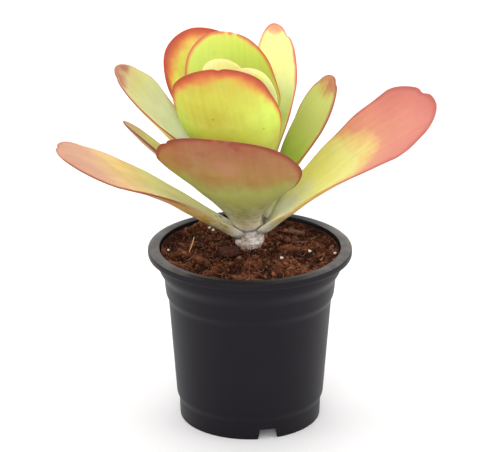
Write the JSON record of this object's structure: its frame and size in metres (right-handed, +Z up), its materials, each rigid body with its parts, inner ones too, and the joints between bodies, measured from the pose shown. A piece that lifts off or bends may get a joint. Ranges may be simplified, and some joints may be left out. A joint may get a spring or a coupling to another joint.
{
  "type": "potted kalanchoe",
  "caption": "Flapjack kalanchoe with thick, red-rimmed paddle leaves on a short bare stem, growing in compost in a round black nursery pot.",
  "frame": {"origin": "centre of the pot's base, where the flat middle disc meets the surface it stands on", "axes": "+Z up along the pot's axis, -Y towards the front, where the lowest front leaf and the visible drainage notch are, +X to the right"},
  "size_m": [0.1924, 0.1319, 0.2016],
  "materials": {
    "pot": "satin",
    "soil": "matte",
    "stem": "matte",
    "leaf_left_low": "satin",
    "leaf_right_low": "satin",
    "leaf_front_low": "satin",
    "leaf_back_low": "satin",
    "leaf_left_rear": "satin",
    "leaf_right_mid": "satin",
    "leaf_left_mid": "satin",
    "leaf_back_right": "satin",
    "leaf_back_left": "satin",
    "leaf_front_upright": "satin",
    "leaf_back_upright": "satin",
    "leaf_inner_left": "satin",
    "leaf_inner_front": "satin",
    "bud_leaf_right": "satin",
    "bud_leaf_left": "satin",
    "perlite": "matte",
    "bark": "matte",
    "straw": "matte"
  },
  "bodies": {
    "root": {"pot": "pot", "soil": "soil", "stem": "stem", "leaf_left_low": "leaf_left_low", "leaf_right_low": "leaf_right_low", "leaf_front_low": "leaf_front_low", "leaf_back_low": "leaf_back_low", "leaf_left_rear": "leaf_left_rear", "leaf_right_mid": "leaf_right_mid", "leaf_left_mid": "leaf_left_mid", "leaf_back_right": "leaf_back_right", "leaf_back_left": "leaf_back_left", "leaf_front_upright": "leaf_front_upright", "leaf_back_upright": "leaf_back_upright", "leaf_inner_left": "leaf_inner_left", "leaf_inner_front": "leaf_inner_front", "bud_leaf_right": "bud_leaf_right", "bud_leaf_left": "bud_leaf_left", "perlite_1": "perlite", "perlite_2": "perlite", "perlite_3": "perlite", "perlite_4": "perlite", "perlite_5": "perlite", "perlite_6": "perlite", "bark_lump": "bark", "bark_flake": "bark", "straw": "straw"}
  },
  "joints": []
}
